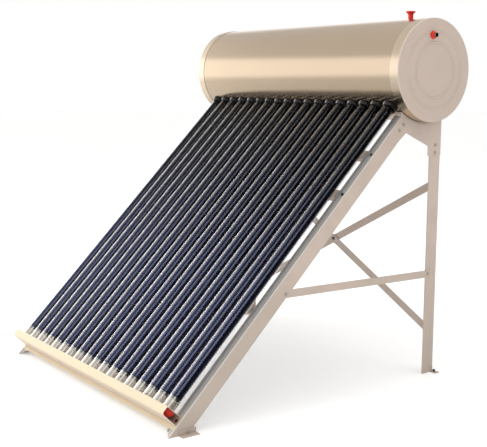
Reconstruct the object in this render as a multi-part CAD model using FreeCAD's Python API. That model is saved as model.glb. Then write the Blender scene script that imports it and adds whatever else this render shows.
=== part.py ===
"""Compact solar water heater: a horizontal storage tank fed by eighteen glass tubes on a tilted steel stand.

Millimetres, +Z up, X along the tank, the tubes run down towards -Y.
Every shape is built with the tank's axis above y = 0 and moved along Y when it is written out,
so that the finished heater stands centred on its origin.
"""
import FreeCAD
import Part
import math
import os

V = FreeCAD.Vector

# ---------------------------------------------------------------- driving dimensions
TILT = 44.7                 # slope of the tubes and front legs, degrees above the floor
TUBE_COUNT = 18
TUBE_PITCH = 80.0
TUBE_R, TUBE_WALL = 29.0, 1.8
TUBE_LENGTH = 1800.0
ABSORBER_R, ABSORBER_WALL = 23.5, 1.6
TUBE_TOP = 160.5            # from the tank's axis down to a tube's open end, along the slope
ABSORBER_TIP = 1896.0       # the same, to the closed end of the inner tube

TANK_Z = 1462.0             # height of the tank's axis
SHELL_R, SHELL_WALL = 235.0, 1.2
SHELL_HALF = 775.0
INNER_R, INNER_WALL, INNER_HALF = 182.0, 1.5, 725.0
CAP_SEAM, CAP_FACE = 738.5, 793.0
CAP_WALL, CAP_ROUND = 1.2, 5.0
CAP_BEADS = ((125.0, 12.0, 1.3), (174.0, 14.0, 0.8))   # radius, width and height of the pressed rings

PORT_Y, PORT_Z = -21.0, 158.0   # water ports, from the tank's axis
PORT_R, PORT_BORE, PORT_END = 10.5, 8.0, 818.0
SPOUT_R, SPOUT_LENGTH = 10.0, 8.0       # the stepped-down end of a port
RING_R, RING_T = 18.0, 15.5
VENT_X = 632.0
VENT_R, VENT_BORE = 14.0, 11.08
PLUG_STEM_R, PLUG_NECK_R, PLUG_DISC_R = 11.0, 13.0, 23.5
PLUG_TOP = 1736.0

STAND_X = 732.0             # outer face of the legs
STEEL = 2.0                 # sheet thickness of the stand
LEG_H, LEG_DEPTH = -49.0, 70.0      # leg flange under the tube plane, and depth of its web
LEG_FLANGE, LIP = 48.0, 9.0
LEG_GROOVE = 3.0            # depth of the groove rolled along a front leg's flange
GROOVE_X = (10.0, 30.0)     # flat bottom of that groove, from the web's face
LEG_TOP = 243.0
FLANGE_END = 1990.0         # where the flange starts to taper towards the foot
REAR_Y0, REAR_Y1, REAR_TOP = 52.0, 122.4, 1190.0
REAR_FLANGE, REAR_LIP, REAR_GROOVE = 34.0, 5.0, 2.0
STRUT_W, STRUT_T = 35.0, 3.0
STRUT_FRONT, STRUT_REAR = (-812.0, 509.5), (64.0, 497.0)
BRACE_W, BRACE_X = 38.0, 712.0
BRACE_HIGH, BRACE_LOW = 933.0, 199.0
BARS_T, BAR_W = (487.0, 727.0), 46.0    # front crossbars: places down the slope, and width

TROUGH_TOP, TROUGH_BOTTOM = 1929.0, 1970.0
TROUGH_FRONT, TROUGH_HALF = 44.0, 728.0
TROUGH_WALL, TROUGH_LIP, TROUGH_RISE = 1.5, 20.0, 3.0
CUP_SKIN = 33.0
TROUGH_BULGE = 12.0         # radius of its lower front corner

SADDLE_R, PAD_T = 238.0, 2.6
SADDLE_FROM, SADDLE_TO = -37.0, 29.5    # degrees from straight down, towards +Y
CRADLE_FOOT = 1066.0
CRADLE_Y0, CRADLE_Y1 = 38.0, 124.0

FOOT_X, FOOT_T = 765.0, 3.0
FOOT_GAP = 0.3
FRONT_FOOT = (-1357.0, -1274.0)
REAR_FOOT = (107.0, 139.0)
ANCHOR_R, ANCHOR_X = 4.5, 755.0
SCREW_X, SCREW_Y, SCREW_TOP = 741.5, 125.5, 13.0   # black screw in a rear foot
BOLT_R, HOLE_R, HEX_AF, HEAD_T, NUT_T = 4.0, 4.4, 13.0, 3.6, 6.5
BAR_NAMES = ("crossbar_upper", "crossbar_lower")

# ---------------------------------------------------------------- derived values
SIN, COS = math.sin(math.radians(TILT)), math.cos(math.radians(TILT))
DOWN = V(0, -COS, -SIN)     # along the tubes, away from the tank
OUT = V(0, -SIN, COS)       # square to the tubes, towards the sun
TUBE_X = [(i - (TUBE_COUNT - 1) / 2.0) * TUBE_PITCH for i in range(TUBE_COUNT)]
TUBE_TIP = TUBE_TOP + TUBE_LENGTH
CAP_R = SHELL_R + CAP_WALL


def slope(t, h, x=0.0):
    """Point t down the slope from the tank's axis and h out from the tube plane."""
    return V(x, 0, TANK_Z) + DOWN * t + OUT * h


def floor_t(h, z=0.0):
    """Distance down the slope at which a line h out from the tube plane reaches height z."""
    return (TANK_Z + h * COS - z) / SIN


# ---------------------------------------------------------------- shape helpers


def prism(points, x0, x1):
    """Solid between x0 and x1 over a closed outline of points that share one x."""
    ring = [V(x0, p.y, p.z) for p in points]
    return Part.Face(Part.makePolygon(ring + ring[:1])).extrude(V(x1 - x0, 0, 0))


def slope_prism(outline, x0, x1):
    """Solid between x0 and x1 over an outline of (t, h) pairs."""
    return prism([slope(t, h) for t, h in outline], x0, x1)


def slope_box(t, h, x):
    """Box square to the tubes from (low, high) pairs of t, h and x."""
    return slope_prism([(t[0], h[0]), (t[1], h[0]), (t[1], h[1]), (t[0], h[1])], x[0], x[1])


def block(x, y, z):
    """Box from three (low, high) pairs."""
    return Part.makeBox(x[1] - x[0], y[1] - y[0], z[1] - z[0], V(x[0], y[0], z[0]))


def rod(start, direction, radius, length):
    return Part.makeCylinder(radius, length, start, direction)


def pipe(start, direction, outer, inner, length):
    return rod(start, direction, outer, length).cut(rod(start, direction, inner, length))


def lathe(profile, origin, axis):
    """Solid turned from (radius, distance along axis) pairs."""
    side = axis.cross(V(1, 0, 0))
    if side.Length < 0.5:
        side = V(0, 0, 1)
    side.normalize()
    ring = [origin + side * r + axis * a for r, a in profile]
    solid = Part.Face(Part.makePolygon(ring + ring[:1])).revolve(origin, axis, 360)
    return Part.makeSolid(solid) if solid.ShapeType != "Solid" else solid


def ball(radius, centre, way):
    """Quarter circle for turned(): outwards to the axis if way is 1, back from the axis if -1."""
    middle = (radius * math.sqrt(0.5), centre + radius * math.sqrt(0.5))
    return middle + ((0, centre + radius) if way > 0 else (radius, centre))


def turned(profile, origin, axis):
    """Solid turned from (radius, distance) corners and (mid r, mid distance, r, distance) arcs."""
    side = axis.cross(V(1, 0, 0)).normalize()
    place = [[origin + side * p[i] + axis * p[i + 1] for i in range(0, len(p), 2)] for p in profile]
    edges = []
    for before, now in zip(place, place[1:] + place[:1]):
        if len(now) == 2:
            edges.append(Part.Arc(before[-1], now[0], now[1]).toShape())
        elif (now[-1] - before[-1]).Length > 1e-6:
            edges.append(Part.makeLine(before[-1], now[-1]))
    return Part.Face(Part.Wire(edges)).revolve(origin, axis, 360)


def mirrored(shape):
    return shape.mirror(V(0, 0, 0), V(1, 0, 0))


def arc_points(radius, start, stop, count):
    """Points round the tank's axis in a YZ plane, by degrees from straight down towards +Y."""
    angles = [math.radians(start + (stop - start) * i / (count - 1)) for i in range(count)]
    return [V(0, radius * math.sin(a), TANK_Z - radius * math.cos(a)) for a in angles]


def sector(inner, outer, start, stop, x0, x1):
    """Part of a ring round the tank's axis, with true round faces."""
    x_axis = V(1, 0, 0)
    begin = math.radians(start)
    side = V(0, math.sin(begin), -math.cos(begin))
    centre = V(x0, 0, TANK_Z)
    ring = [centre + side * inner, centre + side * outer,
            centre + side * outer + x_axis * (x1 - x0), centre + side * inner + x_axis * (x1 - x0)]
    return Part.Face(Part.makePolygon(ring + ring[:1])).revolve(centre, x_axis, stop - start)


# ---------------------------------------------------------------- tank


def tube_bores(radius, start, stop):
    """One tool for all the holes that the tubes pass through."""
    return Part.makeCompound([rod(slope(start, 0, x), DOWN, radius, stop - start) for x in TUBE_X])


def port_points():
    return V(0, PORT_Y, TANK_Z + PORT_Z)


def port_bores(radius):
    """A rod on the line of both water ports, through the whole tank."""
    return rod(port_points() - V(PORT_END, 0, 0), V(1, 0, 0), radius, 2 * PORT_END)


def vent_bore(radius):
    return rod(V(VENT_X, 0, TANK_Z), V(0, 0, 1), radius, SHELL_R + 10)


def tank_shell():
    shell = pipe(V(-SHELL_HALF, 0, TANK_Z), V(1, 0, 0), SHELL_R, SHELL_R - SHELL_WALL, 2 * SHELL_HALF)
    return shell.cut(tube_bores(33.0, 200, 262)).cut(vent_bore(VENT_R + 0.4))


def inner_tank():
    outer = rod(V(-INNER_HALF, 0, TANK_Z), V(1, 0, 0), INNER_R, 2 * INNER_HALF)
    hollow = rod(V(-INNER_HALF + INNER_WALL, 0, TANK_Z), V(1, 0, 0), INNER_R - INNER_WALL,
                 2 * (INNER_HALF - INNER_WALL))
    tank = outer.cut(hollow).cut(tube_bores(34.0, 140, 200)).cut(port_bores(PORT_BORE))
    return tank.cut(vent_bore(VENT_BORE)).cut(anode_bore())


def insulation():
    foam = rod(V(-SHELL_HALF, 0, TANK_Z), V(1, 0, 0), SHELL_R - SHELL_WALL - 0.5, 2 * SHELL_HALF)
    room = rod(V(-INNER_HALF - 0.5, 0, TANK_Z), V(1, 0, 0), INNER_R + 0.5, 2 * INNER_HALF + 1)
    foam = foam.cut(room).cut(tube_bores(34.5, 120, 262)).cut(port_bores(PORT_R + 0.5))
    return foam.cut(vent_bore(VENT_R + 0.5)).cut(rod(V(-SHELL_HALF, 0, TANK_Z), V(1, 0, 0), 19.0, 60))


def end_cap():
    """Right-hand cap: a rim that slips over the shell, a rounded edge and two pressed rings."""
    outside, inside = [(CAP_R, CAP_SEAM)], [(SHELL_R + 0.2, CAP_SEAM)]
    for i in range(7):
        a = math.radians(15.0 * i)
        r0, x0 = CAP_R - CAP_ROUND, CAP_FACE - CAP_ROUND
        outside.append((r0 + CAP_ROUND * math.cos(a), x0 + CAP_ROUND * math.sin(a)))
        small = CAP_ROUND - CAP_WALL
        inside.append((min(r0 + small * math.cos(a), SHELL_R + 0.2), x0 + small * math.sin(a)))
    for bead, width, height in reversed(CAP_BEADS):
        for i in range(9):
            u = 1.0 - i / 4.0
            rise = height * math.cos(u * math.pi / 2) ** 2
            outside.append((bead + u * width / 2, CAP_FACE + rise))
            inside.append((bead + u * width / 2, CAP_FACE + rise - CAP_WALL))
    outside.append((0.0, CAP_FACE))
    inside.append((0.0, CAP_FACE - CAP_WALL))
    cap = lathe(outside + inside[::-1], V(0, 0, TANK_Z), V(1, 0, 0))
    return cap.cut(port_bores(PORT_R + 0.4))


def water_nipple():
    """Right-hand pipe stub, from the inner tank's end out past the cap, where it steps down."""
    step = PORT_END - SPOUT_LENGTH
    profile = [(PORT_BORE, INNER_HALF), (PORT_R, INNER_HALF), (PORT_R, step), (SPOUT_R, step),
               (SPOUT_R, PORT_END), (PORT_BORE, PORT_END)]
    return lathe(profile, port_points(), V(1, 0, 0))


def port_ring():
    """Domed bushing on the cap round a port."""
    bore = PORT_R + 0.3
    profile = [(bore, 0), (RING_R - 1, 0), (RING_R, 1), (RING_R, 4), (RING_R - 1, 8), (RING_R - 3, 12),
               (RING_R - 5.5, RING_T - 0.5), (bore + 0.7, RING_T), (bore, RING_T)]
    return lathe(profile, port_points() + V(CAP_FACE + CAP_BEADS[0][2], 0, 0), V(1, 0, 0))


def vent_neck():
    """Open stub that the plug pushes into, welded to the top of the inner tank."""
    foot = math.sqrt(INNER_R ** 2 - VENT_R ** 2) + 0.1
    neck = pipe(V(VENT_X, 0, TANK_Z + foot), V(0, 0, 1), VENT_R, VENT_BORE, SHELL_R + 3 - foot)
    return neck.cut(rod(V(VENT_X - 40, 0, TANK_Z), V(1, 0, 0), INNER_R, 80))


def vent_plug():
    """Push-in plug: a stem inside the neck, a thicker one above it and a brim on a short cone."""
    foot, neck_top, brim = TANK_Z + SHELL_R - 25, TANK_Z + SHELL_R + 3.0, PLUG_TOP - 6
    profile = [(0, foot), (PLUG_STEM_R - 2, foot), (PLUG_STEM_R, foot + 4), (PLUG_STEM_R, neck_top),
               (PLUG_NECK_R + 1.5, neck_top), (PLUG_NECK_R, neck_top + 3), (PLUG_NECK_R, brim - 8),
               (PLUG_DISC_R - 2, brim), (PLUG_DISC_R, brim + 1), (PLUG_DISC_R, brim + 4),
               (PLUG_DISC_R - 2, PLUG_TOP - 1), (PLUG_DISC_R - 6, PLUG_TOP), (0, PLUG_TOP)]
    return lathe(profile, V(VENT_X, 0, 0), V(0, 0, 1))


def anode_bore():
    return rod(V(-INNER_HALF - 1, 0, TANK_Z), V(1, 0, 0), 11.0, 10)


def anode():
    """Magnesium rod on the axis, with its brass plug in the inner tank's left end."""
    profile = [(0, -12), (17, -12), (17, -0.6), (10.8, -0.6), (10.8, 8), (9, 8), (9, 420), (0, 420)]
    return lathe(profile, V(-INNER_HALF, 0, TANK_Z), V(1, 0, 0))


# ---------------------------------------------------------------- tubes


def outer_glass(x):
    """Clear tube, closed by a half ball below and by a flat glass ring at its open end."""
    small, wall, end = TUBE_R - TUBE_WALL, TUBE_WALL, TUBE_LENGTH - TUBE_R
    mouth = ABSORBER_R - ABSORBER_WALL
    return turned([(mouth, 0), (TUBE_R, 0), (TUBE_R, end), ball(TUBE_R, end, 1), (0, end + small),
                   ball(small, end, -1), (small, wall), (mouth, wall)], slope(TUBE_TOP, 0, x), DOWN)


def absorber(x):
    """Inner tube with the dark coating; the water in it rises into the tank."""
    top = TUBE_TOP + TUBE_WALL + 0.2
    end = ABSORBER_TIP - ABSORBER_R - top
    small = ABSORBER_R - ABSORBER_WALL
    return turned([(small, 0), (ABSORBER_R, 0), (ABSORBER_R, end), ball(ABSORBER_R, end, 1), (0, end + small),
                   ball(small, end, -1)], slope(top, 0, x), DOWN)


def getter_clip(x):
    """Spring cup that centres the inner tube's end in the outer one."""
    r, t = TUBE_R - TUBE_WALL - 0.6, 0.8
    profile = [(6, 0), (r - 3, 0), (r, 4), (r, 22), (r - t, 22), (r - t, 4.6), (r - 3.4, t), (6, t)]
    return lathe([(a, -b) for a, b in profile], slope(ABSORBER_TIP + 6, 0, x), DOWN)


def tube_seal(x):
    """Silicone ring in the inner tank's wall."""
    return pipe(slope(172, 0, x), DOWN, 33.5, TUBE_R + 0.6, 20)


def dust_ring(x):
    """Rubber ring that closes the shell's hole round a tube."""
    r = TUBE_R + 0.6
    profile = [(r, 226), (32.4, 226), (32.4, 235.8), (37, 235.8), (37, 239), (34.5, 248), (32, 251), (r, 251)]
    return lathe(profile, slope(0, 0, x), DOWN)


def tail_cup(x):
    """Half-ball plastic cup below the trough's top wall, round a tube's closed end."""
    mouth = TROUGH_TOP + TROUGH_RISE + TROUGH_WALL + 0.6
    room = TUBE_R + 0.6
    profile = [(room, 0), (CUP_SKIN, 0), ball(CUP_SKIN, 0, 1), (0, room), ball(room, 0, -1)]
    return turned(profile, slope(mouth, 0, x), DOWN)


# ---------------------------------------------------------------- trough


def trough_outline(inset):
    """Closed section of the trough as (t, h) pairs, its lower front corner rounded."""
    top, bottom = TROUGH_TOP + inset, TROUGH_BOTTOM - inset
    front, back = TROUGH_FRONT - inset, LEG_H + inset
    r = TROUGH_BULGE - inset
    corner = [(bottom - r + r * math.sin(math.radians(a)), front - r + r * math.cos(math.radians(a)))
              for a in range(0, 91, 15)]
    return [(top, back), (top + TROUGH_RISE, front)] + corner + [(bottom, back)]


def tail_trough():
    walls = slope_prism(trough_outline(0), -TROUGH_HALF, TROUGH_HALF)
    walls = walls.cut(slope_prism(trough_outline(TROUGH_WALL), -TROUGH_HALF - 1, TROUGH_HALF + 1))
    lip = slope_box((TROUGH_BOTTOM - 1, TROUGH_BOTTOM + TROUGH_LIP), (LEG_H, LEG_H + TROUGH_WALL),
                    (-TROUGH_HALF, TROUGH_HALF))
    return walls.fuse(lip).cut(tube_bores(TUBE_R + 1.2, TROUGH_TOP - 8, TROUGH_TOP + 12)).removeSplitter()


# ---------------------------------------------------------------- stand, right-hand side


def extruded(section, place, way):
    """Solid over a closed list of section points, each turned into a point by place."""
    ring = [place(a, b) for a, b in section]
    return Part.Face(Part.makePolygon(ring + ring[:1])).extrude(way)


def front_leg():
    """Rolled angle with a groove along its flange and a lip on both edges, its foot cut to the floor."""
    rear, edge, t = LEG_H - LEG_DEPTH, STAND_X - LEG_FLANGE, STEEL
    low, bend = LEG_H - LEG_GROOVE, STEEL * math.tan(math.radians(22.5))
    near, far, side = STAND_X - GROOVE_X[0], STAND_X - GROOVE_X[1], LEG_GROOVE
    outside = [(edge, LEG_H - LIP), (edge, LEG_H), (far - side, LEG_H), (far, low), (near, low),
               (near + side, LEG_H), (STAND_X, LEG_H), (STAND_X, rear), (STAND_X - LIP, rear)]
    inside = [(STAND_X - LIP, rear + t), (STAND_X - t, rear + t), (STAND_X - t, LEG_H - t),
              (near + side + bend, LEG_H - t), (near + bend, low - t), (far - bend, low - t),
              (far - side - bend, LEG_H - t), (edge + t, LEG_H - t), (edge + t, LEG_H - LIP)]
    leg = extruded(outside + inside, lambda x, h: slope(LEG_TOP, h, x), DOWN * (floor_t(rear) - LEG_TOP + 200))
    leg = leg.cut(block((edge - 1, STAND_X + 1), (-2500, 500), (-400, 0)))
    taper = [(edge - 1, FLANGE_END), (STAND_X - t, floor_t(LEG_H)), (STAND_X - t, 2150), (edge - 1, 2150)]
    leg = leg.cut(extruded(taper, lambda x, s: slope(s, LEG_H - LIP - 1, x), OUT * (LIP + 2)))
    reach = BAR_W / 2 + 2
    for bar in BARS_T:
        leg = leg.cut(slope_box((bar - reach, bar + reach), (LEG_H - LIP - 1, LEG_H - t), (edge - 1, edge + t + 0.5)))
    passage = strap_yz(STRUT_FRONT, STRUT_REAR, (60, 0), STRUT_W + 2, (STAND_X - LIP - 1, STAND_X - t))
    return leg.cut(passage).removeSplitter()


def rear_leg():
    """Upright angle with a shallow groove rolled down its web and a narrow lip on its front edge."""
    x1, t, g = STAND_X, STEEL, REAR_GROOVE
    y0, y1 = REAR_Y0, REAR_Y1
    outer = [(x1 - REAR_LIP, y0), (x1, y0), (x1, y0 + 21), (x1 - g, y0 + 24), (x1 - g, y1 - 20),
             (x1, y1 - 17), (x1, y1), (x1 - REAR_FLANGE, y1)]
    inner = [(x1 - REAR_FLANGE, y1 - t), (x1 - t, y1 - t), (x1 - t, y1 - 18), (x1 - g - t, y1 - 21),
             (x1 - g - t, y0 + 25), (x1 - t, y0 + 22), (x1 - t, y0 + t), (x1 - REAR_LIP, y0 + t)]
    return extruded(outer + inner, lambda x, y: V(x, y, 0), V(0, 0, REAR_TOP))


def cradle():
    """Side plate that joins both legs, with a curved flange under the tank and a pressed bead."""
    x0, x1 = STAND_X, STAND_X + STEEL
    rear_edge = LEG_H - LEG_DEPTH
    lower = [slope(325, LEG_H), slope(325, rear_edge), slope(281, rear_edge - 5),
             V(0, 35, 1112), V(0, CRADLE_Y0, 1107), V(0, CRADLE_Y0, CRADLE_FOOT), V(0, CRADLE_Y1, CRADLE_FOOT)]
    tip = arc_points(SADDLE_R, SADDLE_FROM, SADDLE_TO, 2)
    blank = prism(lower + [V(0, CRADLE_Y1, tip[1].z), V(0, 0, TANK_Z), tip[0], slope(262, LEG_H)], x0, x1)
    plate = blank.cut(rod(V(x0 - 1, 0, TANK_Z), V(1, 0, 0), SADDLE_R, STEEL + 2))
    flange = sector(SADDLE_R, SADDLE_R + STEEL, SADDLE_FROM, SADDLE_TO, STAND_X - 32, x1)
    bead = sector(SADDLE_R + 8, SADDLE_R + 13, SADDLE_FROM + 9, SADDLE_TO - 6, x1, x1 + 1.5)
    side = block((STAND_X - 1, x1), (CRADLE_Y0, CRADLE_Y0 + STEEL), (CRADLE_FOOT, 1106))
    return plate.fuse([flange, bead, side]).removeSplitter()


def saddle_pad():
    return sector(SADDLE_R - PAD_T, SADDLE_R - 0.1, SADDLE_FROM, SADDLE_TO, STAND_X - 32, STAND_X + STEEL)


def strap_yz(a, b, overhang, width, x_range):
    """Flat bar in a YZ plane between two places given as (y, z)."""
    start, stop = V(0, a[0], a[1]), V(0, b[0], b[1])
    along = (stop - start).normalize()
    across = V(0, -along.z, along.y) * (width / 2)
    ends = [start - along * overhang[0], stop + along * overhang[1]]
    return prism([ends[0] - across, ends[1] - across, ends[1] + across, ends[0] + across], *x_range)


def side_strut():
    """Flat bar from inside the front leg's web to outside the rear leg's, so it runs slightly askew."""
    start = V(STAND_X - STEEL - STRUT_T - 0.5, *STRUT_FRONT)
    stop = V(STAND_X + 0.2, *STRUT_REAR)
    along = (stop - start).normalize()
    across = V(0, -along.z, along.y).normalize() * (STRUT_W / 2)
    ends = [start - along * 16, stop + along * 16]
    ring = [ends[0] - across, ends[1] - across, ends[1] + across, ends[0] + across]
    return Part.Face(Part.makePolygon(ring + ring[:1])).extrude(V(STRUT_T, 0, 0))


def rear_brace(rising, y0):
    """Flat bar across the back; rising is +1 if it climbs towards +X."""
    a, b = V(-BRACE_X * rising, y0, BRACE_LOW), V(BRACE_X * rising, y0, BRACE_HIGH)
    along = (b - a).normalize()
    across = V(-along.z, 0, along.x) * (BRACE_W / 2)
    ends = [a - along * 8, b + along * 8]
    ring = [ends[0] - across, ends[1] - across, ends[1] + across, ends[0] + across]
    return Part.Face(Part.makePolygon(ring + ring[:1])).extrude(V(0, STRUT_T, 0))


def crossbar(t):
    """Angle bar between the front legs, bolted up under the grooves of their flanges."""
    top = LEG_H - LEG_GROOVE - STEEL - 0.05
    high, half, inner = t + BAR_W / 2, STAND_X - STEEL - 1, STAND_X - LEG_FLANGE - 4
    face = slope_box((t - BAR_W / 2, high), (top - STEEL, top), (-half, half))
    web = slope_box((high - STEEL, high), (top - 25, top), (-inner, inner))
    return face.fuse(web).removeSplitter()


def front_foot():
    ear = block((STAND_X + FOOT_GAP, STAND_X + FOOT_GAP + FOOT_T), FRONT_FOOT, (0, 24))
    base = block((STAND_X + FOOT_GAP, FOOT_X), FRONT_FOOT, (0, FOOT_T))
    centre = sum(FRONT_FOOT) / 2
    return ear.fuse(base).cut(rod(V(ANCHOR_X, centre, -1), V(0, 0, 1), ANCHOR_R, 9)).removeSplitter()


def rear_foot():
    back = REAR_Y1 + FOOT_GAP
    base = block((700, FOOT_X), (back, REAR_FOOT[1]), (0, FOOT_T))
    wing = block((STAND_X + 2.5, FOOT_X), REAR_FOOT, (0, FOOT_T))
    ear = block((700, STAND_X - 1), (back, back + FOOT_T), (0, 30))
    centre = sum(REAR_FOOT) / 2
    screw = rod(V(SCREW_X, SCREW_Y, -1), V(0, 0, 1), BOLT_R + 0.3, 9)
    plate = base.fuse([wing, ear]).cut(rod(V(ANCHOR_X, centre, -1), V(0, 0, 1), ANCHOR_R, 9))
    return plate.cut(screw).removeSplitter()


def foot_screw():
    """Screw standing in a rear foot's plate, close to the leg's corner."""
    shank = rod(V(SCREW_X, SCREW_Y, 0.2), V(0, 0, 1), BOLT_R, FOOT_T)
    head = rod(V(SCREW_X, SCREW_Y, FOOT_T), V(0, 0, 1), 5.2, SCREW_TOP - FOOT_T)
    socket = hexagon(V(SCREW_X, SCREW_Y, SCREW_TOP - 5), V(0, 0, 1), 6).copy()
    socket.scale(0.4, V(SCREW_X, SCREW_Y, SCREW_TOP))
    return shank.fuse(head).cut(socket).removeSplitter()


# ---------------------------------------------------------------- fasteners


def hexagon(start, direction, thickness):
    side = direction.cross(V(1, 0, 0)) if abs(direction.x) < 0.9 else V(0, 1, 0)
    side.normalize()
    turn = FreeCAD.Rotation(direction, 60)
    corner, ring = side * (HEX_AF / math.sqrt(3)), []
    for _ in range(6):
        ring.append(start + corner)
        corner = turn.multVec(corner)
    return Part.Face(Part.makePolygon(ring + ring[:1])).extrude(direction * thickness)


class Bolt:
    """Hex bolt: its head's seat, the way it points, and the thickness it clamps."""

    def __init__(self, seat, direction, grip, holes):
        self.seat, self.way, self.grip, self.holes = seat, direction, grip, holes

    def solid(self):
        shank = rod(self.seat, self.way, BOLT_R, self.grip + NUT_T + 3)
        return hexagon(self.seat, self.way * -1, HEAD_T).fuse(shank).removeSplitter()

    def nut(self):
        start = self.seat + self.way * (self.grip + 0.1)
        return hexagon(start, self.way, NUT_T).cut(rod(start, self.way, BOLT_R + 0.15, NUT_T))

    def drill(self, radius=HOLE_R):
        return rod(self.seat - self.way, self.way, radius, self.grip + 2)


def side_bolts():
    """Bolts of the right-hand side, each with the names of the parts it passes through."""
    inward = V(-1, 0, 0)
    face, strut_face = STAND_X + STEEL, STAND_X + STRUT_T + 0.3
    mid = LEG_H - LEG_DEPTH / 2
    bolts = []
    for t in (268, 304):
        bolts.append(Bolt(slope(t, mid, face), inward, 2 * STEEL, ("cradle", "front_leg")))
    for z in (1115, 1079):
        bolts.append(Bolt(V(face, 86, z), inward, 2 * STEEL + REAR_GROOVE, ("cradle", "rear_leg")))
    bolts.append(Bolt(V(STAND_X, *STRUT_FRONT), inward, STRUT_T + STEEL + 0.6, ("side_strut", "front_leg")))
    bolts.append(Bolt(V(strut_face, *STRUT_REAR), inward, STRUT_T + STEEL + 0.4, ("side_strut", "rear_leg")))
    for name, t in zip(BAR_NAMES, BARS_T):
        bolts.append(Bolt(slope(t, LEG_H - LEG_GROOVE, BRACE_X), OUT * -1, 2 * STEEL + 0.1, ("front_leg", name)))
    bolts.append(Bolt(slope(1950, LEG_H + TROUGH_WALL, BRACE_X), OUT * -1, TROUGH_WALL + LEG_GROOVE + STEEL,
                      ("tail_trough", "front_leg")))
    return bolts


def brace_bolts(right):
    """The two bolts of the rear bars at one leg: bar a lies behind the legs' flanges, bar b before them."""
    x = BRACE_X if right else -BRACE_X
    high, low = ("rear_brace_a", "rear_brace_b") if right else ("rear_brace_b", "rear_brace_a")
    places = ((BRACE_HIGH, high), (BRACE_LOW, low))
    return [Bolt(V(x, REAR_Y1 + (STRUT_T if name.endswith("a") else 0), z), V(0, -1, 0), STRUT_T + STEEL,
                 ("rear_leg", name)) for z, name in places]


def foot_bolts():
    """Right-hand foot bolts; each foot turns on its own."""
    front_y = FRONT_FOOT[1] - 38
    ear = FOOT_T + FOOT_GAP
    return [Bolt(V(STAND_X + ear + 0.2, front_y, 12), V(-1, 0, 0), ear + 0.2 + STEEL, ("front_foot", "front_leg")),
            Bolt(V(716, REAR_Y1 + ear + 0.2, 15), V(0, -1, 0), ear + 0.2 + STEEL, ("rear_foot", "rear_leg"))]


# ---------------------------------------------------------------- assembly


def tank_y():
    """Distance that brings the middle of the whole heater over y = 0."""
    return (-min(slope(t, h).y for t, h in trough_outline(0)) - CAP_R) / 2.0


def put(name, shapes):
    """Moves a node to its place over the origin and writes it as one STEP file."""
    shapes = shapes if isinstance(shapes, list) else [shapes]
    solids = [s for shape in shapes for s in shape.Solids]
    node = solids[0] if len(solids) == 1 else Part.makeCompound(solids)
    node = node.copy()
    node.translate(V(0, tank_y(), 0))
    node.exportStep(os.path.join("parts", name + ".step"))
    box = node.BoundBox
    print("%-22s %2d solid(s) valid=%s  x %.0f..%.0f  y %.0f..%.0f  z %.0f..%.0f" % (
        name, len(solids), node.isValid(), box.XMin, box.XMax, box.YMin, box.YMax, box.ZMin, box.ZMax))


def drilled(parts, bolts):
    """Cuts the bolts' holes; a foot turns on its bolt, so its hole is close."""
    for bolt in bolts:
        for name in bolt.holes:
            tool = bolt.drill(BOLT_R + 0.1 if name.endswith("_foot") else HOLE_R)
            parts[name] = parts[name].cut(tool)


def stand():
    """Stand parts of the right side, the left side, and those shared by both, all drilled."""
    right = {"front_leg": front_leg(), "cradle": cradle(), "side_strut": side_strut(),
             "front_foot": front_foot(), "rear_foot": rear_foot(), "rear_leg": rear_leg()}
    shared = {"rear_brace_a": rear_brace(1, REAR_Y1), "rear_brace_b": rear_brace(-1, REAR_Y1 - STEEL - STRUT_T),
              "tail_trough": tail_trough()}
    shared.update({name: crossbar(t) for name, t in zip(BAR_NAMES, BARS_T)})
    both = dict(right, **shared)
    drilled(both, side_bolts() + foot_bolts())
    right = {name: both[name] for name in right}
    left = {name: mirrored(shape) for name, shape in right.items()}
    shared = {name: both[name] for name in shared}
    for name in BAR_NAMES + ("tail_trough",):
        shared[name] = shared[name].common(mirrored(shared[name]))
    for side, parts in ((True, right), (False, left)):
        parts.update(shared)
        drilled(parts, brace_bolts(side))
        shared = {name: parts.pop(name) for name in shared}
    for name in ("rear_brace_a", "rear_brace_b"):
        shared[name] = shared[name].cut(centre_bolt().drill())
    return right, left, shared


def centre_bolt():
    """Bolt where the two rear bars cross."""
    z = (BRACE_HIGH + BRACE_LOW) / 2
    return Bolt(V(0, REAR_Y1 + STRUT_T, z), V(0, -1, 0), 2 * STRUT_T + STEEL, ())


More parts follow.
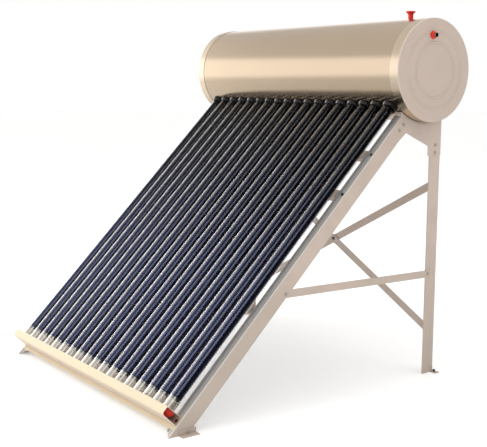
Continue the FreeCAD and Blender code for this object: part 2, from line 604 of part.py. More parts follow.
def main():
    os.makedirs("parts", exist_ok=True)
    put("tank_shell", tank_shell())
    put("inner_tank", inner_tank())
    put("tank_insulation", insulation())
    put("anode_rod", anode())
    cap, nipple, ring = end_cap(), water_nipple(), port_ring()
    put("end_cap_right", cap)
    put("end_cap_left", mirrored(cap))
    put("outlet_nipple", nipple)
    put("inlet_nipple", mirrored(nipple))
    put("outlet_ring", ring)
    put("inlet_ring", mirrored(ring))
    put("vent_neck", vent_neck())
    put("vent_plug", vent_plug())
    for number, x in enumerate(TUBE_X, 1):
        put("glass_tube_%02d" % number, outer_glass(x))
    groups = {"absorber_tubes": absorber, "getter_clips": getter_clip, "tube_seals": tube_seal,
              "dust_rings": dust_ring, "tail_cups": tail_cup}
    for name, maker in groups.items():
        put(name, [maker(x) for x in TUBE_X])
    right, left, shared = stand()
    for name in right:
        put(name + "_right", right[name])
        put(name + "_left", left[name])
    put("saddle_pad_right", saddle_pad())
    put("saddle_pad_left", mirrored(saddle_pad()))
    for name, shape in shared.items():
        put(name, shape)
    centre = centre_bolt()
    put("foot_screw_right", foot_screw())
    put("foot_screw_left", mirrored(foot_screw()))
    put("brace_spacer", pipe(centre.seat - V(0, STRUT_T, 0), V(0, -1, 0), 9.0, HOLE_R, STEEL))
    one_side, rear = side_bolts() + foot_bolts(), brace_bolts(True) + brace_bolts(False) + [centre]
    for name, maker in (("frame_bolts", Bolt.solid), ("frame_nuts", Bolt.nut)):
        ones = [maker(bolt) for bolt in one_side]
        put(name, ones + [mirrored(solid) for solid in ones] + [maker(bolt) for bolt in rear])


main()
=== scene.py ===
"""Looks of a compact solar water heater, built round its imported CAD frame.

Everything is in metres in the frame of the CAD model: +Z up, +X along the tank, and the glass
tubes run down towards -Y. The CAD nodes keep their shape and get their finishes here. The silver
films in the tubes' tips are the one new surface, and they ride on the main body.
"""
import logging
import math
from dataclasses import dataclass
from enum import Enum

import bpy
import numpy as np
from mathutils import Matrix, Vector


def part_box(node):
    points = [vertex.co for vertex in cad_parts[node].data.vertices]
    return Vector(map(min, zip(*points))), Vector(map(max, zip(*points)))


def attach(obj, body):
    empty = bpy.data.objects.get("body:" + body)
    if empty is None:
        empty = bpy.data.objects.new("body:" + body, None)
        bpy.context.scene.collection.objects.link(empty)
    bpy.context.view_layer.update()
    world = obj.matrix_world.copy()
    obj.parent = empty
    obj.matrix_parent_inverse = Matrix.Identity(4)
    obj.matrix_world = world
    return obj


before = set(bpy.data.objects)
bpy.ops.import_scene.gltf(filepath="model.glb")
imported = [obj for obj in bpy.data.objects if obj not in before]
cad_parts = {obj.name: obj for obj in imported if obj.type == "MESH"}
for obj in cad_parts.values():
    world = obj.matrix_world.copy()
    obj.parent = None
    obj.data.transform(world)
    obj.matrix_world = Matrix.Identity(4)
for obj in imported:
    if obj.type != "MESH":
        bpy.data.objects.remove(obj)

LOG = logging.getLogger("heater")
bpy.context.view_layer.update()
SHELL_LOW, SHELL_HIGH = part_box("tank_shell")
TANK_PLACE = ((SHELL_LOW.y + SHELL_HIGH.y) / 2, (SHELL_LOW.z + SHELL_HIGH.z) / 2)    # its axis, as (y, z)
MAIN_BODY = "frame_and_tank"

TILT = math.radians(44.7)
TUBE_PITCH = 0.08
TUBE_COUNT = 18
Colour = tuple[float, float, float]


# ---------------------------------------------------------------- where things are


@dataclass(frozen=True)
class Slope:
    """The tilted plane of the tubes, measured from the tank's axis.

    Attributes:
        tank_y: place of the tank's axis along Y.
        height: place of the tank's axis along Z.
        tilt: slope of the tubes above the floor, in radians.
    """

    tank_y: float = TANK_PLACE[0]
    height: float = TANK_PLACE[1]
    tilt: float = TILT

    @property
    def down(self) -> np.ndarray:
        """Direction down the tubes."""
        return np.array([0.0, -math.cos(self.tilt), -math.sin(self.tilt)])

    @property
    def out(self) -> np.ndarray:
        """Direction square to the tube plane, towards the sun."""
        return np.array([0.0, -math.sin(self.tilt), math.cos(self.tilt)])

    @property
    def centre(self) -> np.ndarray:
        """Middle of the tank's axis."""
        return np.array([0.0, self.tank_y, self.height])


def tube_places() -> np.ndarray:
    """Places of the tubes' axes along X."""
    return (np.arange(TUBE_COUNT) - (TUBE_COUNT - 1) / 2) * TUBE_PITCH


# ---------------------------------------------------------------- shader maths


class Expr:
    """A shader socket that takes part in sums, so that maths reads as it is written."""

    def __init__(self, graph: "Graph", socket: bpy.types.NodeSocket) -> None:
        """Wraps a socket.

        Args:
            graph: the node tree it belongs to.
            socket: an output socket.
        """
        self.graph = graph
        self.socket = socket

    def math(self, operation: str, *others: "Expr | float", clamp: bool = False) -> "Expr":
        """Adds a Math node with this value first.

        Args:
            operation: the Math node's operation.
            others: the other operands.
            clamp: whether the result is held between 0 and 1.

        Returns:
            The result.
        """
        links = {0: self} | {i + 1: other for i, other in enumerate(others)}
        return self.graph.node("ShaderNodeMath", {"operation": operation, "use_clamp": clamp}, links)

    def __add__(self, other: "Expr | float") -> "Expr":
        """Sum."""
        return self.math("ADD", other)

    __radd__ = __add__

    def __mul__(self, other: "Expr | float") -> "Expr":
        """Product."""
        return self.math("MULTIPLY", other)

    __rmul__ = __mul__

    def __sub__(self, other: "Expr | float") -> "Expr":
        """Difference."""
        return self.math("SUBTRACT", other)

    def __rsub__(self, other: float) -> "Expr":
        """Difference with a number first."""
        return (self * -1.0) + other

    def __pow__(self, other: float) -> "Expr":
        """Power."""
        return self.math("POWER", other)

    def absolute(self) -> "Expr":
        """Size without its sign."""
        return self.math("ABSOLUTE")

    def clamped(self) -> "Expr":
        """Held between 0 and 1."""
        return self.math("ADD", 0.0, clamp=True)

    def ramp(self, low: float, high: float) -> "Expr":
        """Smooth step that is 0 at low and 1 at high; low may be the larger one.

        Args:
            low: the value that gives 0.
            high: the value that gives 1.

        Returns:
            The step.
        """
        settings = {"interpolation_type": "SMOOTHSTEP"}
        if low > high:
            return 1.0 - self.ramp(high, low)
        return self.graph.node("ShaderNodeMapRange", settings, {0: self, 1: low, 2: high, 3: 0.0, 4: 1.0})

    def blend(self, low: "Expr | Colour", high: "Expr | Colour") -> "Expr":
        """Colour that goes from low to high as this value goes from 0 to 1.

        Args:
            low: colour at 0.
            high: colour at 1.

        Returns:
            The mixed colour.
        """
        settings = {"data_type": "RGBA", "clamp_factor": True}
        return self.graph.node("ShaderNodeMix", settings, {0: self, 6: low, 7: high}, 2)


class Graph:
    """A node tree that is filled through one method."""

    def __init__(self, tree: bpy.types.NodeTree) -> None:
        """Starts from an empty tree.

        Args:
            tree: the tree to fill.
        """
        self.tree = tree
        tree.nodes.clear()

    def feed(self, socket: bpy.types.NodeSocket, value: "Expr | float | tuple") -> None:
        """Links an expression to a socket, or sets the socket's own value.

        Args:
            socket: an input socket.
            value: an expression, a number, a vector or a colour.
        """
        if isinstance(value, Expr):
            self.tree.links.new(value.socket, socket)
        elif isinstance(value, tuple) and socket.type == "RGBA":
            socket.default_value = (*value[:3], 1.0)
        else:
            socket.default_value = value

    def node(self, kind: str, settings: dict | None = None, links: dict | None = None,
             output: int | str = 0) -> Expr:
        """Adds any node.

        Args:
            kind: the node's type.
            settings: its properties.
            links: values or expressions for its inputs, by name or number.
            output: which output is wanted.

        Returns:
            That output as an expression.
        """
        made = self.tree.nodes.new(kind)
        for key, value in (settings or {}).items():
            setattr(made, key, value)
        for key, value in (links or {}).items():
            self.feed(made.inputs[key], value)
        return Expr(self, made.outputs[output])

    def place(self) -> Expr:
        """The point on the object, in metres in the frame."""
        return self.node("ShaderNodeTexCoord", output="Object")

    def parts(self, vector: Expr) -> tuple[Expr, Expr, Expr]:
        """The three parts of a vector."""
        split = self.node("ShaderNodeSeparateXYZ", links={0: vector})
        node = split.socket.node
        return tuple(Expr(self, node.outputs[i]) for i in range(3))

    def along(self, direction: np.ndarray, origin: np.ndarray) -> Expr:
        """Distance of the point from origin along a direction.

        Args:
            direction: unit vector.
            origin: where the distance is 0.

        Returns:
            The distance in metres.
        """
        dot = self.node("ShaderNodeVectorMath", {"operation": "DOT_PRODUCT"},
                        {0: self.place(), 1: tuple(float(v) for v in direction)}, "Value")
        return dot - float(np.dot(direction, origin))

    def noise(self, scale: float, stretch: tuple = (1.0, 1.0, 1.0), detail: float = 2.0) -> Expr:
        """Noise between 0 and 1 on the object's own coordinates.

        Args:
            scale: how many features to a metre.
            stretch: a further scale along each axis.
            detail: octaves.

        Returns:
            The noise.
        """
        place = self.node("ShaderNodeMapping", {"vector_type": "TEXTURE"},
                          {"Vector": self.place(), "Scale": tuple(1.0 / s for s in stretch)})
        return self.node("ShaderNodeTexNoise", {"noise_dimensions": "3D"},
                         {"Vector": place, "Scale": scale, "Detail": detail, "Roughness": 0.55})

    def bump(self, height: Expr, depth: float) -> Expr:
        """Normal raised by a height between 0 and 1.

        Args:
            height: the height map.
            depth: how far 1 stands proud, in metres.

        Returns:
            The normal.
        """
        return self.node("ShaderNodeBump", links={"Height": height, "Distance": depth, "Strength": 1.0})


# ---------------------------------------------------------------- finishes


@dataclass(frozen=True)
class Finish:
    """A finish: a plain surface whose colour and roughness drift a little.

    Attributes:
        name: the material's name.
        colour: its colour, linear.
        rough: its roughness.
        metal: its metallic value.
        drift: how far the colour wanders, as a share.
        grain: features of the drift to a metre.
        coat: weight of a clear coat over it.
    """

    name: str
    colour: Colour
    rough: float = 0.5
    metal: float = 0.0
    drift: float = 0.08
    grain: float = 9.0
    coat: float = 0.0

    def shade(self, graph: Graph) -> dict[str, Expr | float | tuple]:
        """Works out the surface.

        Args:
            graph: the material's node tree.

        Returns:
            Values for the shader's sockets.
        """
        wander = graph.noise(self.grain, detail=3.0)
        fine = graph.noise(self.grain * 40, detail=1.0)
        return {
            "Base Color": self.drifting(wander),
            "Roughness": (self.rough + (fine - 0.5) * 0.1).clamped(),
            "Metallic": self.metal,
            "Coat Weight": self.coat,
            "Normal": graph.bump(fine, 0.00004),
        }

    def drifting(self, wander: Expr) -> Expr:
        """The colour, a little darker or lighter as a noise between 0 and 1 wanders.

        Args:
            wander: the noise.

        Returns:
            The colour.
        """
        return wander.ramp(0.3, 0.7).blend(self.scaled(1 - self.drift), self.scaled(1 + self.drift))

    def scaled(self, share: float) -> Colour:
        """The colour made lighter or darker."""
        return tuple(min(1.0, c * share) for c in self.colour)

    def build(self) -> bpy.types.Material:
        """Makes the Blender material.

        Returns:
            The material.
        """
        material = bpy.data.materials.new(self.name)
        material.use_nodes = True
        graph = Graph(material.node_tree)
        shader = graph.node("ShaderNodeBsdfPrincipled", links=self.shade(graph))
        output = material.node_tree.nodes.new("ShaderNodeOutputMaterial")
        material.node_tree.links.new(shader.socket, output.inputs["Surface"])
        return material


class Brush(Enum):
    """Which way the brush lines of a rolled sheet run: the noise's stretch along X, Y and Z."""

    ROUND_THE_TANK = (1.0, 0.02, 0.02)
    ALONG_THE_TANK = (0.02, 1.0, 1.0)


@dataclass(frozen=True)
class RolledSteel(Finish):
    """Brushed and rolled stainless sheet: fine lines one way and a slow ripple in the sheet.

    Attributes:
        ripple: depth of the ripple, in metres.
        brush: which way the lines run.
    """

    ripple: float = 0.0003
    brush: Brush = Brush.ALONG_THE_TANK

    def shade(self, graph: Graph) -> dict[str, Expr | float | tuple]:
        """Fine brush lines in colour and roughness, and a slow ripple in the normal."""
        lines = graph.noise(260, self.brush.value, 2.0)
        cloud = graph.noise(4, (0.35, 1.0, 1.0), 2.0)
        wave = graph.noise(7, (0.25, 1.0, 1.0), 1.0)
        return {
            "Base Color": self.drifting(cloud * 0.85 + lines * 0.15),
            "Roughness": (self.rough + (lines - 0.5) * 0.06).clamped(),
            "Metallic": self.metal,
            "Normal": graph.bump(wave, self.ripple),
        }


@dataclass(frozen=True)
class CapSteel(Finish):
    """Drawn end cap: a satin beige coat on its face, while its rim is bare like the shell.

    Attributes:
        bare: colour of the bare rim.
        bare_rough: roughness of the bare rim.
        shoulder: half the width of a pressed ring, in metres.
        face: distance of the flat face from the tank's middle, in metres.
        beads: radii of the pressed rings, in metres; painted shade, broken up by noise, darkens their
            shoulders.
    """

    bare: Colour = (0.90, 0.74, 0.56)
    bare_rough: float = 0.24
    shoulder: float = 0.0055
    face: float = 0.793
    beads: tuple[float, float] = (0.125, 0.174)

    def shade(self, graph: Graph) -> dict[str, Expr | float | tuple]:
        """Bare metal up to the rounded edge, then a coat with a slow drift, fine turning marks and painted
        shade along the rings' shoulders.
        """
        across, back, up = graph.parts(graph.place())
        coated = across.absolute().ramp(self.face - 0.0055, self.face - 0.0035)
        cloud = graph.noise(5, detail=3.0)
        radius = ((back - TANK_PLACE[0]) ** 2.0 + (up - TANK_PLACE[1]) ** 2.0) ** 0.5
        marks = graph.node("ShaderNodeTexNoise", {"noise_dimensions": "1D"},
                           {"W": radius, "Scale": 700.0, "Detail": 1.0})
        coat = self.drifting(cloud)
        # painted shade: the coat is darkened along the pressed rings' shoulders, broken up by noise, in place
        # of the shade of their steps
        ring_shade = graph.noise(8, detail=1.0).ramp(0.2, 0.6) * 0.4
        for bead in self.beads:
            edge = ((radius - bead).absolute() - self.shoulder).absolute().ramp(0.003, 0.0)
            coat = (edge * ring_shade).blend(coat, self.scaled(0.5))
        return {
            "Base Color": coated.blend(self.bare, coat),
            "Roughness": coated * (self.rough - self.bare_rough) + self.bare_rough + (marks - 0.5) * 0.03,
            "Metallic": 1.0 - coated * (1.0 - self.metal),
            "Normal": graph.bump(cloud + marks * 0.02, 0.0004),
        }


@dataclass(frozen=True)
class StandCoat(Finish):
    """Baked beige coat on rolled steel, a little dustier towards the floor.

    Attributes:
        foot: colour that it takes near the floor.
    """

    foot: Colour = (0.42, 0.36, 0.30)

    def shade(self, graph: Graph) -> dict[str, Expr | float | tuple]:
        """Orange-peel bump, slow drift of colour, and dust that thickens from knee height to the floor."""
        cloud = graph.noise(6, detail=3.0)
        peel = graph.noise(900, detail=1.0)
        fleck = graph.noise(160, detail=2.0).ramp(0.68, 0.74)
        _, _, height = graph.parts(graph.place())
        dust = height.ramp(0.12, 0.0) * cloud.ramp(0.25, 0.75) * 0.3 + height.ramp(0.7, 0.1) * 0.45
        coat = self.drifting(cloud)
        coat = (fleck * 0.35).blend(coat, self.scaled(0.72))
        return {
            "Base Color": dust.blend(coat, self.foot),
            "Roughness": (self.rough + (cloud - 0.5) * 0.14 + dust * 0.2).clamped(),
            "Metallic": self.metal,
            "Normal": graph.bump(peel, 0.00003),
        }


@dataclass(frozen=True)
class LegCoat(StandCoat):
    """The stand's coat on a front leg, whose grooved flange has a grey face with painted shade on the
    groove's walls and painted highlights along its folds.

    Places across the stand are distances from the tank's middle, in metres; each pair is where a
    step starts and where it is full.

    Attributes:
        flange: grey colour of the flange's face.
        fold_highlight: colour of the painted highlights along its folds.
        flange_h: how far out of the tube plane the flange's face lies, in metres.
        side: the leg's outer face, which is coated.
        outer_fold: fold between the flange and the outer face.
        inner_fold: fold along the flange's free edge.
        groove_middle: middle of the rolled groove.
        groove_wall: distance of the groove's slanted walls from its middle.
        slope: the tubes' plane.
    """

    flange: Colour = (0.60, 0.57, 0.54)
    fold_highlight: Colour = (0.85, 0.81, 0.76)
    flange_h: float = -0.049
    side: tuple[float, float] = (0.7325, 0.7315)
    outer_fold: tuple[float, float] = (0.7262, 0.7278)
    inner_fold: tuple[float, float] = (0.6885, 0.6865)
    groove_middle: float = 0.712
    groove_wall: float = 0.0115
    slope: Slope = Slope()

    def shade(self, graph: Graph) -> dict[str, Expr | float | tuple]:
        """The coat, and on the flange a grey face with light and dark stripes along it, painted shade on the
        groove's walls and painted highlights on the folds.
        """
        values = super().shade(graph)
        across, _, _ = graph.parts(graph.place())
        offset = across.absolute()
        out = graph.along(self.slope.out, self.slope.centre)
        inward = offset.ramp(*self.side)
        bare = out.ramp(self.flange_h - 0.0055, self.flange_h - 0.004) * inward
        lines = graph.node("ShaderNodeTexNoise", {"noise_dimensions": "1D"},
                           {"W": across, "Scale": 150.0, "Detail": 2.0})
        groove_shade, dark, light = (tuple(c * share for c in self.flange) for share in (0.4, 0.7, 1.25))
        steel = lines.ramp(0.35, 0.62).blend(dark, light)
        # painted shade: the groove's slanted walls are darkened
        wall = ((offset - self.groove_middle).absolute() - self.groove_wall).absolute().ramp(0.0042, 0.0015)
        steel = (wall * 0.55).blend(steel, groove_shade)
        # painted highlight: the folds are lightened to a bright colour
        fold_glint = offset.ramp(*self.outer_fold) + offset.ramp(*self.inner_fold)
        steel = (fold_glint * 0.9).blend(steel, self.fold_highlight)
        return values | {"Base Color": bare.blend(values["Base Color"], steel), "Metallic": bare * 0.25}


@dataclass(frozen=True)
class TroughCoat(StandCoat):
    """The trough's cream coat, with painted shade on its deep lower face, which faces down, and cream again
    on its lip.

    Attributes:
        lower_face_shade: colour of the painted shade on the lower face.
        front: how far out of the tube plane the lower face starts, in metres.
        lip: distance down the slope at which the lip starts, in metres.
        slope: the tubes' plane.
    """

    lower_face_shade: Colour = (0.66, 0.54, 0.45)
    front: float = 0.034
    lip: float = 1.9712
    slope: Slope = Slope()

    def shade(self, graph: Graph) -> dict[str, Expr | float | tuple]:
        """The coat with painted shade on its lower face, mixed by the distance out of the tube plane."""
        values = super().shade(graph)
        out = graph.along(self.slope.out, self.slope.centre)
        down = graph.along(self.slope.down, self.slope.centre)
        # painted shade: the lower face, which faces down, is given a darker rosy colour
        face = out.ramp(self.front, self.front - 0.02) * down.ramp(self.lip, self.lip - 0.0005)
        return values | {"Base Color": (face * 0.85).blend(values["Base Color"], self.lower_face_shade)}


@dataclass(frozen=True)
class BoltSteel(Finish):
    """Zinc plated bolts; the heads on the outer faces were coated together with the stand.

    Attributes:
        coat: colour of the coated heads.
        outside: distance from the tank's middle past which a head is coated, in metres.
    """

    coat: Colour = (0.40, 0.34, 0.29)
    outside: float = 0.7325

    def shade(self, graph: Graph) -> dict[str, Expr | float | tuple]:
        """Near-black zinc, as painted shade, with grey flecks inside, and the stand's beige outside."""
        across, _, _ = graph.parts(graph.place())
        coated = across.absolute().ramp(self.outside - 0.0005, self.outside)
        fleck = graph.noise(self.grain, detail=2.0).ramp(0.35, 0.7)
        # painted shade: the zinc colour is near-black, so that the bare heads inside the legs' flanges read
        # as the dark shade seen there
        zinc = fleck.blend(self.scaled(1 - self.drift), self.scaled(1 + self.drift))
        return {
            "Base Color": coated.blend(zinc, self.coat),
            "Roughness": self.rough + fleck * 0.15,
            "Metallic": (1.0 - coated) * self.metal,
            "Normal": graph.bump(fleck, 0.00004),
        }


@dataclass(frozen=True)
class ClearGlass(Finish):
    """Thin clear tube: see-through where it faces the eye, a mirror towards its edges.

    Attributes:
        face: how much of a mirror it is face on.
        edge: how much of one it is at its outline.
        upper: its colour near the tank, where dust dulls it.
        slope: the tubes' plane.
    """

    face: float = 0.03
    edge: float = 0.9
    upper: Colour = (0.42, 0.40, 0.37)
    slope: Slope = Slope()

    def shade(self, graph: Graph) -> dict[str, Expr | float | tuple]:
        """The mirror's share grows with a power of the turn away from the eye."""
        clean = graph.along(self.slope.down, self.slope.centre).ramp(0.3, 1.7)
        turn = graph.node("ShaderNodeLayerWeight", links={"Blend": 0.5}, output="Facing")
        dust = graph.noise(30, detail=3.0).ramp(0.5, 0.8)
        share = self.face + (turn ** 4.0) * (self.edge - self.face) + dust * 0.01
        return {
            "Base Color": clean.blend(self.upper, self.colour),
            "Roughness": (dust * 0.05 + self.rough).clamped(),
            "Metallic": self.metal,
            "Alpha": share.clamped(),
        }


@dataclass(frozen=True)
class SunCoating(Finish):
    """Dark selective coating of the inner tubes: grey-black near the tank, deep blue lower down.

    Attributes:
        low: colour at the lower end.
        start: distance down the slope at which the blue starts.
        end: distance at which it is full.
        slope: the tubes' plane.
    """

    low: Colour = (0.085, 0.105, 0.21)
    start: float = 0.3
    end: float = 1.6
    slope: Slope = Slope()

    def shade(self, graph: Graph) -> dict[str, Expr | float | tuple]:
        """Blue that deepens down the slope, with faint rings left by the coating drum."""
        down = graph.along(self.slope.down, self.slope.centre)
        cloud = graph.noise(11, detail=3.0)
        deep = (down.ramp(self.start, self.end) + (cloud - 0.5) * 0.12).clamped()
        rings = graph.node("ShaderNodeTexNoise", {"noise_dimensions": "1D"},
                           {"W": down, "Scale": 90.0, "Detail": 2.0})
        return {
            "Base Color": deep.blend(self.colour, self.low),
            "Roughness": (self.rough + (rings - 0.5) * 0.02).clamped(),
            "Metallic": self.metal,
        }


@dataclass(frozen=True)
class SilverFilm(Finish):
    """Mirror film inside a tube's tip, with a dark broken upper edge and pale specks.

    Attributes:
        top: distance down the slope of the film's upper edge.
        speck: colour of the pale specks.
        scorch: colour of the brown blotches.
        slope: the tubes' plane.
    """

    top: float = 1.884
    speck: Colour = (0.95, 0.93, 0.9)
    scorch: Colour = (0.25, 0.17, 0.13)
    slope: Slope = Slope()

    def shade(self, graph: Graph) -> dict[str, Expr | float | tuple]:
        """Silver that breaks up at its edge and carries brown and white specks."""
        down = graph.along(self.slope.down, self.slope.centre)
        specks = graph.noise(240, detail=2.0)
        blotch = graph.noise(60, detail=3.0)
        edge = down + (blotch - 0.5) * 0.012
        clear = edge.ramp(self.top + 0.004, self.top + 0.009)
        tint = specks.ramp(0.6, 0.68).blend(self.colour, self.speck)
        tint = blotch.ramp(0.62, 0.7).blend(tint, self.scorch)
        return {
            "Base Color": tint,
            "Roughness": (self.rough + blotch * 0.25).clamped(),
            "Metallic": self.metal,
            "Alpha": clear,
        }


# ---------------------------------------------------------------- surfaces


def put_mesh(name: str, points: np.ndarray, wrap: bool) -> bpy.types.Object:
    """Makes one object from grids of points that share a size.

    Args:
        name: the object's name.
        points: an array (grids, rows, columns, 3); faces join neighbouring points of a grid.
        wrap: whether the last column joins the first.

    Returns:
        The object, smooth shaded, with its place in its mesh.
    """
    grids, rows, columns, _ = points.shape
    across = columns if wrap else columns - 1
    g, r, c = np.meshgrid(np.arange(grids), np.arange(rows - 1), np.arange(across), indexing="ij")
    base = g * rows * columns
    right = (c + 1) % columns
    faces = np.stack([base + r * columns + c, base + r * columns + right,
                      base + (r + 1) * columns + right, base + (r + 1) * columns + c], -1).reshape(-1, 4)
    mesh = bpy.data.meshes.new(name)
    mesh.vertices.add(grids * rows * columns)
    mesh.vertices.foreach_set("co", points.astype(np.float32).ravel())
    mesh.loops.add(faces.size)
    mesh.loops.foreach_set("vertex_index", faces.astype(np.int32).ravel())
    mesh.polygons.add(len(faces))
    mesh.polygons.foreach_set("loop_start", np.arange(0, faces.size, 4, dtype=np.int32))
    mesh.polygons.foreach_set("use_smooth", np.ones(len(faces), bool))
    mesh.update(calc_edges=True)
    mesh.validate()
    made = bpy.data.objects.new(name, mesh)
    bpy.context.scene.collection.objects.link(made)
    return made


def turned(profile: np.ndarray, origin: np.ndarray, axis: np.ndarray, segments: int) -> np.ndarray:
    """Surface of revolution: each (radius, distance) of the profile becomes a circle.

    Args:
        profile: an array (rows, 2) of radius and distance along the axis.
        origin: where the distance is 0.
        axis: unit vector of the axis.
        segments: points round each circle.

    Returns:
        A grid (rows, segments, 3) for put_mesh with wrap.
    """
    side = np.cross(axis, [1.0, 0, 0])
    if np.linalg.norm(side) < 0.5:
        side = np.cross(axis, [0, 1.0, 0])
    side /= np.linalg.norm(side)
    other = np.cross(axis, side)
    turn = np.linspace(0, 2 * math.pi, segments, endpoint=False)
    ring = np.cos(turn)[:, None] * side + np.sin(turn)[:, None] * other
    return origin + profile[:, 1, None, None] * axis + profile[:, 0, None, None] * ring


# ---------------------------------------------------------------- sub-assemblies


class Part:
    """A sub-assembly: it knows its CAD nodes and dresses them."""

    def dress(self, finish: Finish, *nodes: str) -> None:
        """Gives CAD nodes one finish.

        Args:
            finish: the finish.
            nodes: names of CAD nodes.
        """
        material = finish.build()
        for name in nodes:
            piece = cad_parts[name]
            piece.data.materials.clear()
            piece.data.materials.append(material)
        LOG.info("%s on %d piece(s)", finish.name, len(nodes))

    def add(self, piece: bpy.types.Object, finish: Finish, slot: str) -> None:
        """Finishes a new piece and lets it ride on the main body.

        Args:
            piece: the new object.
            finish: its finish.
            slot: not used.
        """
        piece.data.materials.append(finish.build())
        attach(piece, MAIN_BODY)
        LOG.info("new piece %s with %d faces", piece.name, len(piece.data.polygons))


@dataclass
class Tank(Part):
    """Storage tank with its caps, ports and vent.

    Attributes:
        slope: the tubes' plane, which passes through the tank's axis.
    """

    slope: Slope

    def build(self) -> None:
        """Dresses the tank."""
        self.dress(RolledSteel("rolled_shell", (0.78, 0.615, 0.45), 0.19, 1.0, 0.025), "tank_shell")
        self.dress(CapSteel("satin_cap", (0.66, 0.54, 0.458), 0.45, 0.1, 0.02),
                   "end_cap_right", "end_cap_left")
        self.dress(Finish("plain_steel", (0.55, 0.53, 0.50), 0.35, 1.0), "inner_tank", "vent_neck")
        self.dress(Finish("turned_steel", (0.50, 0.47, 0.43), 0.3, 1.0, 0.1, 60),
                   "outlet_nipple", "inlet_nipple")
        self.dress(Finish("foam", (0.80, 0.70, 0.45), 0.9), "tank_insulation")
        self.dress(Finish("anode_metal", (0.6, 0.6, 0.6), 0.5, 1.0), "anode_rod")
        self.dress(Finish("red_plastic", (0.80, 0.028, 0.012), 0.3, 0.0, 0.06, 30, 0.3),
                   "vent_plug", "outlet_ring", "inlet_ring")


@dataclass
class Collector(Part):
    """Glass tubes with their seals, rings, cups and silvered tips.

    Attributes:
        slope: the tubes' plane.
        film_radius: radius of the silver film, just inside the clear tube.
        film_top: distance down the slope of its upper edge.
        tip: distance down the slope of the tube's tip.
    """

    slope: Slope
    film_radius: float = 0.0269
    film_top: float = 1.884
    tip: float = 1.9583

    def build(self) -> None:
        """Dresses the tubes and adds the silver films."""
        tubes = [f"glass_tube_{i:02d}" for i in range(1, TUBE_COUNT + 1)]
        self.dress(ClearGlass("clear_glass", (1.0, 0.92, 0.80), 0.03, 1.0), *tubes)
        self.dress(SunCoating("sun_coating", (0.042, 0.043, 0.048), 0.08, 0.98, slope=self.slope),
                   "absorber_tubes")
        self.dress(Finish("spring_steel", (0.7, 0.7, 0.7), 0.2, 1.0), "getter_clips")
        self.dress(Finish("silicone", (0.5, 0.2, 0.14), 0.5), "tube_seals")
        self.dress(Finish("black_rubber", (0.012, 0.012, 0.013), 0.25, 0.0, 0.2, 40, 0.2), "dust_rings")
        self.dress(Finish("cup_plastic", (0.62, 0.02, 0.012), 0.35), "tail_cups")
        self.films()

    def films(self) -> None:
        """Silver film in each tip: a short cylinder that closes in a quarter circle."""
        r = self.film_radius
        rise = np.linspace(self.film_top, self.tip - r, 5)
        turn = np.linspace(0, math.pi / 2 * 0.98, 9)[1:]
        profile = np.concatenate([np.stack([np.full(5, r), rise], 1),
                                  np.stack([r * np.cos(turn), self.tip - r + r * np.sin(turn)], 1)])
        one = turned(profile, self.slope.centre, self.slope.down, 32)
        all_films = one[None] + tube_places()[:, None, None, None] * np.array([1.0, 0, 0])
        film = SilverFilm("silver_film", (0.95, 0.89, 0.82), 0.14, 0.75, top=self.film_top, slope=self.slope)
        self.add(put_mesh("silver_films", all_films, True), film, "spring_steel")


@dataclass
class Stand(Part):
    """Legs, plates, bars, trough, feet and their bolts.

    Attributes:
        coat: the coat that most of the stand shares.
    """

    coat: Finish = StandCoat("stand_coat", (0.60, 0.49, 0.42), 0.45, 0.0, 0.04)

    def build(self) -> None:
        """Dresses the stand."""
        self.dress(LegCoat("leg_coat", self.coat.colour, self.coat.rough, 0.0, 0.05), "front_leg_right",
                   "front_leg_left")
        pairs = ("rear_leg", "cradle", "side_strut", "front_foot", "rear_foot")
        sides = [f"{part}_{side}" for part in pairs for side in ("right", "left")]
        self.dress(self.coat, *sides, "rear_brace_a", "rear_brace_b", "crossbar_upper",
                   "crossbar_lower")
        self.dress(TroughCoat("trough_coat", (0.78, 0.67, 0.47), 0.4, 0.0, 0.03, foot=(0.72, 0.6, 0.44)),
                   "tail_trough")
        self.dress(Finish("pad_rubber", (0.02, 0.02, 0.02), 0.6), "saddle_pad_right", "saddle_pad_left")
        # painted shade: the zinc colour is near-black, so that the bolt heads inside the flanges stand in for
        # the shade there
        self.dress(BoltSteel("zinc", (0.16, 0.15, 0.14), 0.35, 1.0, 0.15, 80), "frame_bolts", "frame_nuts",
                   "brace_spacer")
        self.dress(Finish("black_steel", (0.02, 0.02, 0.02), 0.4, 0.6), "foot_screw_right", "foot_screw_left")


# ---------------------------------------------------------------- studio


@dataclass(frozen=True)
class Room:
    """How bright the surroundings are to glossy and to matt surfaces.

    Attributes:
        level: the left side.
        band: what the band at eye height adds to it.
        low: what it loses far below eye height.
        dark: the right side.
        strip: what the strip light adds to that.
        edge: what the far left adds.
        matt: what matt surfaces get from everywhere.
    """

    level: float = 0.59
    band: float = 0.50
    low: float = 0.42
    dark: float = 0.03
    strip: float = 0.9
    edge: float = 2.4
    matt: float = 0.8


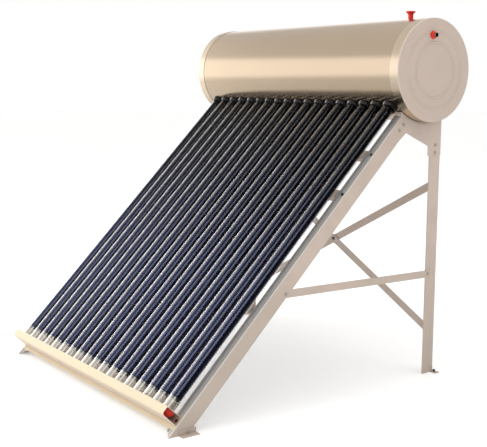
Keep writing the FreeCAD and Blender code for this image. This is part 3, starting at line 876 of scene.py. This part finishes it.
@dataclass
class Studio:
    """Floor, soft light and camera.

    Attributes:
        slope: the tubes' plane.
        eye: the camera's place, its Y measured from the tank's axis.
        azimuth: how far it is turned from looking along +Y, in degrees.
        pitch: how far it looks up, in degrees.
        roll: its turn about its own axis, in degrees.
        lens: focal length in millimetres on a 36 mm sensor.
        floor_glow: light that the floor gives off itself, so that it stays pale under the heater.
        floor_half: half the floor's side, in metres.
        floor_drop: how far it lies below the feet, in metres.
        aim: where the lamps look.
        room: the surroundings' brightness.
    """

    slope: Slope
    eye: tuple[float, float, float] = (3.7729, -3.2995, 1.3939)
    azimuth: float = 53.3758
    pitch: float = -8.4118
    roll: float = 0.3266
    lens: float = 69.595
    floor_glow: float = 0.3
    floor_half: float = 40.0
    floor_drop: float = 0.0005
    aim: tuple[float, float, float] = (0.0, 0.0, 0.8)
    room: Room = Room()

    def build(self) -> None:
        """Makes the floor, the world, the lights and the camera."""
        self.floor()
        self.world()
        self.lamp("key", (-0.6, -4.4, 5.0), 3.6, 130.0, (1.0, 0.97, 0.93))
        self.lamp("top", (0.0, 0.0, 6.0), 6.0, 110.0, (1.0, 1.0, 1.0))
        self.camera()

    def floor(self) -> None:
        """Wide pale floor: a flat grid just below the feet."""
        line = np.linspace(-self.floor_half, self.floor_half, 3)
        u, v = np.meshgrid(line, line)
        piece = put_mesh("studio_floor", np.stack([u, v, np.full_like(u, -self.floor_drop)], -1)[None], False)
        paint = Finish("pale_floor", (0.87, 0.87, 0.86), 0.9, 0.0, 0.003, 0.5).build()
        for node in paint.node_tree.nodes:
            if node.type == "BSDF_PRINCIPLED":
                node.inputs["Emission Color"].default_value = (1.0, 1.0, 1.0, 1.0)
                node.inputs["Emission Strength"].default_value = self.floor_glow
        piece.data.materials.append(paint)
        piece.visible_glossy = False

    def world(self) -> None:
        """White to the eye and even to matt surfaces; glossy ones see a room.

        The room is lit on the left, more so in a band at eye height and at its far end. It is dark on
        the right, apart from a strip light high up.
        """
        world = bpy.data.worlds.new("studio_world")
        bpy.context.scene.world = world
        world.use_nodes = True
        world.cycles.sampling_method = "NONE"
        graph = Graph(world.node_tree)
        x, _, z = graph.parts(graph.node("ShaderNodeTexCoord", output="Generated"))
        left = x.ramp(0.2, -0.35)
        band = z.ramp(-0.22, -0.08) * z.ramp(0.42, 0.28)
        low = z.ramp(-0.56, -0.70)
        lit = self.room.level + band * self.room.band - low * self.room.low
        strip = x.ramp(0.1, 0.5) * z.ramp(0.42, 0.6) * z.ramp(0.86, 0.72)
        unlit = self.room.dark + strip * self.room.strip
        glow = left * lit + (1.0 - left) * unlit + x.ramp(-0.83, -0.93) * self.room.edge
        seen = graph.node("ShaderNodeLightPath", output="Is Camera Ray")
        glossy = graph.node("ShaderNodeLightPath", output="Is Glossy Ray")
        strength = seen + (1.0 - seen) * (glossy * glow + (1.0 - glossy) * self.room.matt)
        shader = graph.node("ShaderNodeBackground", links={"Color": (1.0, 1.0, 1.0), "Strength": strength})
        output = world.node_tree.nodes.new("ShaderNodeOutputWorld")
        world.node_tree.links.new(shader.socket, output.inputs["Surface"])

    def lamp(self, name: str, place: tuple, size: float, power: float, colour: Colour) -> None:
        """Adds a soft square lamp that looks at the heater and shows in no reflection.

        Args:
            name: the lamp's name.
            place: where it hangs.
            size: length of its side.
            power: its power in watts.
            colour: its colour.
        """
        data = bpy.data.lights.new(name, "AREA")
        data.size, data.energy, data.color = size, power, colour
        lamp = bpy.data.objects.new(name, data)
        lamp.location = place
        lamp.rotation_mode = "QUATERNION"
        lamp.rotation_quaternion = (Vector(self.aim) - Vector(place)).to_track_quat("-Z", "Y")
        lamp.visible_glossy = False
        lamp.visible_camera = False
        bpy.context.scene.collection.objects.link(lamp)

    def camera(self) -> None:
        """Puts the camera at its place, from its azimuth, pitch and roll."""
        a, p, roll = (math.radians(v) for v in (self.azimuth, self.pitch, self.roll))
        ahead = Vector((-math.sin(a) * math.cos(p), math.cos(a) * math.cos(p), math.sin(p)))
        right = Vector((math.cos(a), math.sin(a), 0))
        up = right.cross(ahead)
        turned_right = right * math.cos(roll) + up * math.sin(roll)
        turned_up = up * math.cos(roll) - right * math.sin(roll)
        data = bpy.data.cameras.new("camera")
        data.lens, data.sensor_width, data.clip_end = self.lens, 36.0, 200.0
        camera = bpy.data.objects.new("camera", data)
        matrix = Matrix((turned_right, turned_up, -ahead)).transposed().to_4x4()
        east, south, height = self.eye
        matrix.translation = Vector((east, self.slope.tank_y + south, height))
        camera.matrix_world = matrix
        bpy.context.scene.collection.objects.link(camera)
        bpy.context.scene.camera = camera


def main() -> None:
    """Builds the heater's looks and the studio round it."""
    logging.basicConfig(level=logging.INFO, format="%(name)s: %(message)s")
    bpy.context.scene.view_settings.view_transform = "Standard"
    slope = Slope()
    for part in (Tank(slope), Collector(slope), Stand(), Studio(slope)):
        part.build()


if __name__ == "__main__":
    main()
